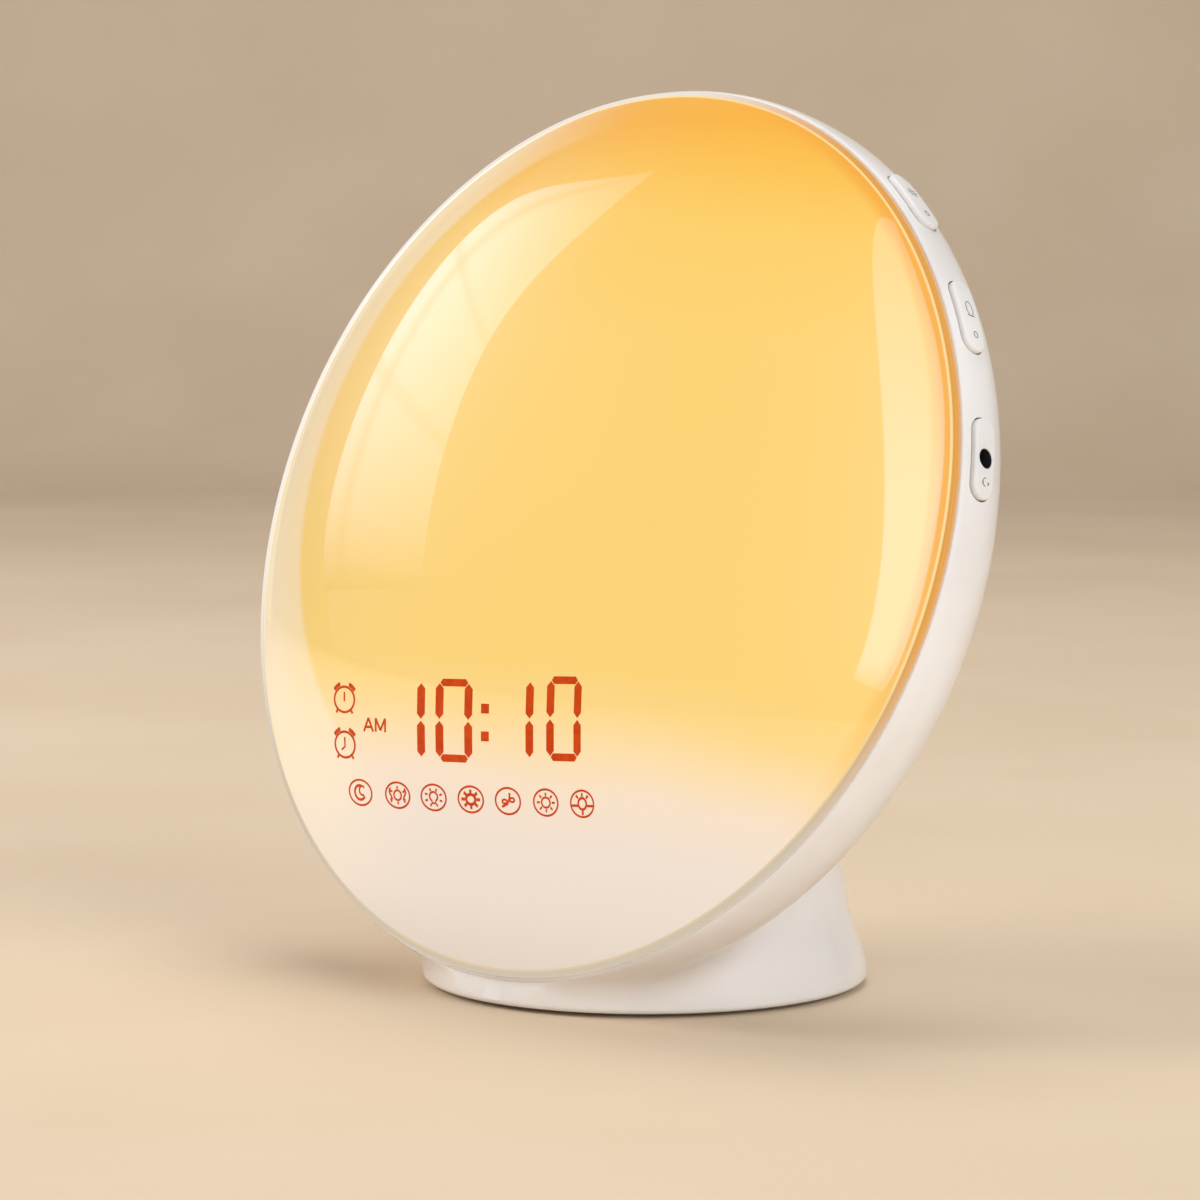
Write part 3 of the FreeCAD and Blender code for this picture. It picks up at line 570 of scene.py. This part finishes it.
def boldSunIcon(drawing, x, y, line, squash):
    drawing.loop(x, y, 1.15, 0.85, line * 1.5)
    drawing.rays(x, y, 1.05, 1.65, 8, line * 1.5, squash)


def sprigIcon(drawing, x, y, line, squash):
    # a bent stalk with two leaves
    stalk = [(-1.6, -1.0), (-0.2, -0.5), (0.4, 0.4), (0.5, 1.4)]
    drawing.stroke([(x + a, y + b) for a, b in stalk], line * 1.2)
    for side, lift in ((-1, 0.0), (1, 0.3)):
        drawing.loop(x + side * 0.95 + 0.1, y + lift - 0.1, 0.6, 0.34, line)


def sunIcon(drawing, x, y, line, squash):
    drawing.loop(x, y, 1.1, 0.85, line)
    drawing.rays(x, y, 1.1, 1.65, 8, line, squash)


def lineSunIcon(drawing, x, y, line, squash):
    # a ring on a level line, three rays above it and a short line below
    drawing.loop(x, y, 1.1, 0.95, line * 1.2)
    level = y - 0.35
    for side in (-1, 1):
        drawing.stroke([(x + side * 1.2, level), (x + side * (display["iconWide"] - 0.1), level)], line * 1.2)
    drawing.stroke([(x, y - 1.0), (x, y - 1.9)], line * 1.3)
    for turn in (50, 90, 130):
        way = np.array([math.cos(math.radians(turn)) * squash, math.sin(math.radians(turn))])
        drawing.stroke([(x, y) + way * 1.2, (x, y) + way * 1.8], line * 1.2)


icons = [moonIcon, wavesIcon, bulbIcon, boldSunIcon, sprigIcon, sunIcon, lineSunIcon]


def makeDisplay():
    # digits and colon are one piece, alarm marks, letters and icons the other
    d = display
    figures = Drawing(onDome, d["lift"], d["thick"])
    for centre, row, lit in d["digits"]:
        drawDigit(figures, centre, row, lit)
    (left, right), half = d["colon"], d["colonHalf"]
    for row in d["colonRows"]:
        figures.tile([(left, row - half), (right, row - half), (right, row + half), (left, row + half)])
    figures.piece("displayFigures", "litRed", "clock")
    marks = Drawing(onDome, d["lift"], d["thick"])
    for x, y, hand in d["alarms"]:
        drawAlarm(marks, x, y, hand)
    drawLetters(marks, *d["letters"])
    squash = d["iconWide"] / d["iconHigh"]
    for index, (icon, shift) in enumerate(zip(icons, d["iconShifts"])):
        x = (index - 3) * d["pitch"] + shift
        marks.loop(x, d["row"], d["iconWide"], d["iconHigh"], d["line"])
        icon(marks, x, d["row"], d["line"], squash)
    marks.piece("displayMarks", "litRed", "clock")


makeDisplay()
print("display made")

# Keys and jack plate: pills that follow the rim; mm, around is a count and jackAngle is in degrees
pad = {"length": 14.8, "width": 5.2, "depth": 4.4, "proud": 1.0, "edge": 0.45, "base": 82.4, "around": 120,
       "rimFront": 85.2, "bulge": 1.2, "rimDepth": 6.3, "bowl": 29.7, "bore": 1.75, "jackAngle": 11.4}


def rimRadius(z, proud):
    # the rim's outline: a quarter ellipse to its widest place, then the bowl's quarter ellipse
    p = pad
    away = z + p["rimDepth"]
    ahead = p["rimFront"] + proud + p["bulge"] * np.sqrt(np.clip(1 - (away / p["rimDepth"]) ** 2, 0, 1))
    side = p["rimFront"] + p["bulge"] + proud
    behind = side * np.sqrt(np.clip(1 - (away / p["bowl"]) ** 2, 0, 1))
    return np.where(away > 0, ahead, behind)


def onPad(angle):
    # place (t along the rim, w towards the front) and lift to the disc, for the pad at an angle
    turn = math.radians(angle)

    def place(t, w, lift, level=None):
        z = w - pad["depth"]
        outward = np.sqrt(rimRadius(z, pad["proud"]) ** 2 - t * t) + lift if level is None else level + 0 * t
        return fromDisc(outward * math.cos(turn) - t * math.sin(turn),
                        outward * math.sin(turn) + t * math.cos(turn), z)
    return place


def stadium(inset, count):
    # outline of a long rounded pill, drawn in by inset: two half circles and two even straight runs
    straight = (pad["length"] - pad["width"]) / 2
    radius = pad["width"] / 2 - inset
    side = count // 5
    cap = count // 2 - side
    run = np.linspace(straight, -straight, side + 2)[1:-1]
    core = np.concatenate([np.full(cap, straight), run, np.full(cap, -straight), -run])
    turn = np.radians(np.concatenate([np.linspace(-90, 90, cap), np.full(side, 90.0),
                                      np.linspace(90, 270, cap), np.full(side, 270.0)]))
    return core + np.cos(turn) * radius, np.sin(turn) * radius


def makePill(name, angle, node, bored):
    # rings of the pill: up its side, over a rounded edge, then in to the middle or down the bore
    p = pad
    n = p["around"]
    place = onPad(angle)
    rings = [place(*stadium(0, n), 0, level=p["base"]), place(*stadium(0, n), -p["edge"] - 0.4)]
    for degrees in np.linspace(0, 90, 6):
        inset = p["edge"] * (1 - math.cos(math.radians(degrees)))
        drop = p["edge"] * (1 - math.sin(math.radians(degrees)))
        rings.append(place(*stadium(inset, n), -drop))
    t0, w0 = stadium(p["edge"], n)
    turn = np.arctan2(w0, t0)
    target = p["bore"] + 0.3 if bored else 0.0
    for share in (0.25, 0.5, 0.75, 1.0) if bored else (0.3, 0.6, 0.85):
        t = t0 * (1 - share) + target * np.cos(turn) * share
        w = w0 * (1 - share) + target * np.sin(turn) * share
        rings.append(place(t, w, 0))
    if bored:
        circle = (p["bore"] * np.cos(turn), p["bore"] * np.sin(turn))
        rings += [place(1.05 * circle[0], 1.05 * circle[1], -0.08), place(*circle, -0.3),
                  place(*circle, 0, level=p["base"])]
    faces = gridFaces(len(rings), n, True)
    j = np.arange(n)
    nextJ = (j + 1) % n
    last = (len(rings) - 1) * n
    if bored:
        faces += np.stack([last + j, last + nextJ, nextJ, j], 1).tolist()
    else:
        middle = np.zeros(1)
        rings += [place(middle, middle, 0), place(middle, middle, 0, level=p["base"])]
        faces += np.stack([last + j, last + nextJ, np.full(n, last + n)], 1).tolist()
        faces += np.stack([nextJ, j, np.full(n, last + n + 1)], 1).tolist()
    points = np.concatenate(rings)
    piece = addMesh(name, points, faces)
    sharpenBy(piece, 50)
    finish(piece, "whiteKey")
    if bored:
        piece.data.materials.append(materials["blackPart"].material)
        wall = len(rings) - 2
        rows = np.arange(len(piece.data.polygons)) // n
        piece.data.polygons.foreach_set("material_index", (rows == wall).astype(np.int32))
    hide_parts(node)
    return piece


# Marks on the pads: sizes in mm along the rim and across it
def jackMark(drawing):
    # a headband over two ear pieces
    drawing.loop(-4.3, 0, 0.75, 0.75, 0.16, 0, 180)
    for side in (-1, 1):
        drawing.stroke([(-4.75, side * 0.72), (-4.2, side * 0.72)], 0.34)


def lowRing(drawing):
    drawing.loop(-4.2, 0, 0.62, 0.5, 0.15)


def alarmMark(drawing):
    # a bell's outline and a small ring below it
    drawing.loop(1.2, 0, 1.5, 0.85, 0.16, -150, 150)
    drawing.stroke([(-0.3, -0.9), (-0.3, 0.9)], 0.2)
    lowRing(drawing)


def sunMark(drawing):
    # a small sun and a small ring below it
    drawing.loop(1.6, 0, 0.6, 0.6, 0.16)
    drawing.rays(1.6, 0, 0.85, 1.25, 8, 0.14, 1.0)
    lowRing(drawing)


def padMarks(name, angle, body, draw):
    drawing = Drawing(onPad(angle), 0.01, 0.03)
    draw(drawing)
    drawing.piece(name, "markGrey", body)


keys = {
    # packed key: its place in the pieces' names, degrees round the rim, mark
    "key_right_middle": ("RightMiddle", 29.7, alarmMark), "key_right_top": ("RightTop", 48.0, sunMark),
    "key_left_top": ("LeftTop", 132.0, sunMark), "key_left_middle": ("LeftMiddle", 150.3, alarmMark),
    "key_left_bottom": ("LeftBottom", 168.6, sunMark)}
for node, (place, angle, mark) in keys.items():
    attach(makePill("key" + place, angle, node, False), node)
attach(makePill("jackPlate", pad["jackAngle"], "jack_plate", True), "clock")
padMarks("markJack", pad["jackAngle"], "clock", jackMark)
for node, (place, angle, mark) in keys.items():
    padMarks("mark" + place, angle, node, mark)
print("keys made")

# Housing and rear cover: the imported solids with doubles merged, so they shade smooth
smoothed = {"housing": "housingShell", "rear_cover": "rearCoverPlate"}
for node, name in smoothed.items():
    copy = mergedCopy(node, name)
    finish(copy, "whiteShell")
    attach(copy, "clock")

nodeFinish = {
    "whiteShell": ["base_plate", "battery_cap"],
    "innerWhite": ["reflector_pan", "display_light_box"],
    "boardWhite": ["light_board"],
    "lampBody": ["leds"],
    "boardGreen": ["display_board", "main_board", "right_switch_board", "left_switch_board"],
    "zincSteel": ["light_screws", "main_screws", "side_screws", "cover_screws", "base_screws"],
    "blackPart": ["board_parts", "right_switches", "left_switches", "headphone_jack", "battery_holder",
                  "power_inlet", "stem_right_middle", "stem_right_top", "stem_left_top", "stem_left_middle",
                  "stem_left_bottom"],
    "blackSteel": ["speaker_frame"],
    "ferrite": ["speaker_magnet"],
    "paperCone": ["speaker_cone"],
    "wireSleeve": ["power_lead", "speaker_lead"],
    "flatCable": ["right_ribbon", "left_ribbon"],
    "softRubber": ["rubber_foot"],
    "cellSteel": ["coin_cell"],
    "platedContact": ["battery_contacts", "inlet_centre_pin"]}
for material, nodes in nodeFinish.items():
    for node in nodes:
        finish(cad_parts[node], material)
print("packed pieces finished")

# Stage, camera and lights; the stage is in metres, the camera in mm, headings in degrees
stage = {"colour": (222, 202, 176), "cloudColour": (217, 196, 169), "depth": 2.2, "width": 3.2, "bend": 0.5,
         "height": 1.8, "heading": -42.0}


def makeStage():
    # a floor that rises into a backdrop through a quarter circle, turned to face the camera
    s = stage
    turn = np.radians(np.linspace(-90, 0, 16))
    far = s["depth"]
    y = np.concatenate([[-far], far - s["bend"] + s["bend"] * np.cos(turn), [far]])[:, None]
    z = np.concatenate([[0], s["bend"] + s["bend"] * np.sin(turn), [s["height"]]])
    x = np.array([-s["width"], s["width"]])[None, :]
    cosine, sine = math.cos(math.radians(s["heading"])), math.sin(math.radians(s["heading"]))
    points = np.stack([x * cosine + y * sine, y * cosine - x * sine, np.repeat(z[:, None], 2, 1)], -1)
    piece = addMesh("floor", points, gridFaces(len(y), 2, False))
    g = Graph("paleFloor")
    cloud = g.noise(6.0, 4.0)
    g.set(Base_Color=g.twoTones(cloud, s["colour"], s["cloudColour"]), Roughness=0.85 + cloud * 0.05,
          Normal=g.bump(g.noise(220.0, 3.0), 0.25, 0.0004))
    piece.data.materials.append(g.material)


makeStage()

view = {"azimuth": 42.86, "pitch": 4.63, "place": (507.42, -559.41, 133.71), "lens": 120.0, "sensor": 36.0}


def makeCamera():
    # looks along the azimuth and down by the pitch; its place is in mm
    azimuth, pitch = math.radians(view["azimuth"]), math.radians(view["pitch"])
    level = math.cos(pitch)
    back = Vector((math.sin(azimuth) * level, -math.cos(azimuth) * level, math.sin(pitch)))
    camera = bpy.data.objects.new("camera", bpy.data.cameras.new("camera"))
    bpy.context.scene.collection.objects.link(camera)
    camera.location = Vector(view["place"]) * mm
    camera.rotation_euler = back.to_track_quat("Z", "Y").to_euler()
    camera.data.lens = view["lens"]
    camera.data.sensor_width = view["sensor"]
    camera.data.clip_start = 0.05
    bpy.context.scene.camera = camera
    return camera


camera = makeCamera()

windows = {
    # outlines on the dome, in mm on the disc, of the three soft windows that it mirrors, top to bottom
    "leftWindow": {
        "outer": [(9, 65.1), (-11.3, 63.7), (-28.1, 57.2), (-37.3, 49), (-46.1, 24.8), (-49.7, 0.6),
                  (-44.7, -19.6)],
        "inner": [(9, 65.1), (0, 50.4), (-8.9, 35.5), (-11.3, 26), (-13.2, 7.3), (-14.2, -9), (-12.7, -19.5)],
        "shine": [0.5, 0.75, 0.95, 1.05, 0.9, 0.55, 0.0],
        "strength": 2.9, "tint": (0.66, 0.68, 0.9), "bars": (0.46, 0.67)},
    "edgeWindow": {
        "outer": [(-33, 77), (-59, 59.4), (-75.5, 36.5), (-83.2, 9.5), (-81.5, -19.5), (-71, -44.5),
                  (-55, -63.3)],
        "inner": [(-32, 73), (-55, 55), (-70, 34), (-77, 9), (-75.5, -18), (-66, -41.5), (-52, -60)],
        "shine": [0.6, 0.9, 1.0, 1.0, 1.0, 0.8, 0.3],
        "strength": 0.75, "tint": (0.95, 0.8, 0.5), "bars": ()},
    "rightWindow": {
        "outer": [(60, 59.4), (71.9, 41.5), (77.7, 29.4), (81.4, 16.3), (83.5, 0), (82, -14), (78.5, -26.6)],
        "inner": [(57, 59), (60.1, 48.8), (67.1, 31.1), (73, 15), (76.1, -6.5), (75.4, -17.1), (74, -25.3)],
        "shine": [0.5, 0.6, 0.7, 0.9, 1.2, 1.4, 0.4],
        "strength": 5.2, "tint": (0.62, 0.66, 1.0), "bars": ()}}
sheet = {"rows": 81, "columns": 25, "far": 1.3, "barDim": 0.3, "barWidth": 0.012,
         "stripeDim": 0.35, "stripePlace": 0.2, "stripeWidth": 0.05}        # metres away; shares of the sheet


def smoothCurve(points, share):
    # a fourth-degree curve fitted to the points by least squares, read at even steps from end to end
    points = np.array(points, float)
    knots = np.linspace(0, 1, len(points))
    return np.stack([np.polyval(np.polyfit(knots, points[:, k], 4), share) for k in (0, 1)], -1)


def unit(vectors):
    return vectors / np.linalg.norm(vectors, axis=-1)[..., None]


def shadeAt(run, place, width, dim):
    # 1 less a bell-shaped dip at the place
    return 1 - dim * np.exp(-((run - place) / width) ** 2)


def makeWindow(name, outer, inner, shine, strength, tint, bars):
    # a bright sheet whose points lie where the dome mirrors the camera's sight, so its image has the outline
    s = sheet
    share = np.linspace(0, 1, s["rows"])
    across = np.linspace(0, 1, s["columns"])
    mixed = across[None, :, None]
    flat = smoothCurve(outer, share)[:, None] * (1 - mixed) + smoothCurve(inner, share)[:, None] * mixed
    x, y = flat[..., 0], flat[..., 1]
    place = fromDisc(x, y, domeHeight(x, y))
    normal = unit(place - fromDisc(np.array(0.0), np.array(0.0), np.array(ballCentre)))
    sight = unit(place - np.array(camera.location))
    bounce = sight - 2 * (sight * normal).sum(-1)[..., None] * normal
    piece = addMesh(name, place + bounce * s["far"], gridFaces(s["rows"], s["columns"], False))
    level = np.interp(share, np.linspace(0, 1, len(shine)), shine)
    for bar in bars:
        level *= shadeAt(share, bar, s["barWidth"], s["barDim"])
    level = level[:, None] * shadeAt(across, s["stripePlace"], s["stripeWidth"], s["stripeDim"])[None, :]
    piece.data.attributes.new("shine", "FLOAT", "POINT").data.foreach_set("value", level.ravel())
    g = Graph(name + "Light")
    shining = g.add("ShaderNodeAttribute", {"attribute_name": "shine"}, {}, "Fac")
    black = rgba((0, 0, 0))
    g.set(Emission_Color=g.mix(shining, black, rgba(tint)))
    g.fix(Base_Color=black, Emission_Strength=strength)
    piece.data.materials.append(g.material)
    piece.visible_camera = piece.visible_diffuse = piece.visible_shadow = False


for name, settings in windows.items():
    makeWindow(name, **settings)

lamps = {
    # place and size in metres, watts, colour; their mirror images are left out
    "leftLamp": ((-1.3, -1.1, 1.0), 1.2, 21.0, (1.0, 0.96, 0.90)),
    "rightLamp": ((1.7, -0.25, 0.75), 1.3, 20.0, (0.93, 0.97, 1.0)),
    "lowLamp": ((0.75, -1.25, 0.2), 0.9, 5.0, (0.95, 0.97, 1.0)),
    "topLamp": ((-0.2, 0.35, 1.6), 1.0, 10.0, (1.0, 0.98, 0.95))}
lampAim = (0, 0, 0.08)
air = {"colour": (232, 234, 238), "strength": 0.40}


def makeLamp(name, place, size, watts, colour):
    data = bpy.data.lights.new(name, "AREA")
    data.shape, data.size, data.energy, data.color = "DISK", size, watts, colour
    lamp = bpy.data.objects.new(name, data)
    bpy.context.scene.collection.objects.link(lamp)
    lamp.location = place
    lamp.rotation_euler = (Vector(place) - Vector(lampAim)).to_track_quat("Z", "Y").to_euler()
    lamp.visible_glossy = False


for name, settings in lamps.items():
    makeLamp(name, *settings)
world = bpy.data.worlds.new("studio")
bpy.context.scene.world = world
world.use_nodes = True
background = world.node_tree.nodes["Background"]
background.inputs["Color"].default_value = rgba(linear(*air["colour"]))
background.inputs["Strength"].default_value = air["strength"]
bpy.context.scene.view_settings.view_transform = "Standard"
print("stage, camera and lamps made")
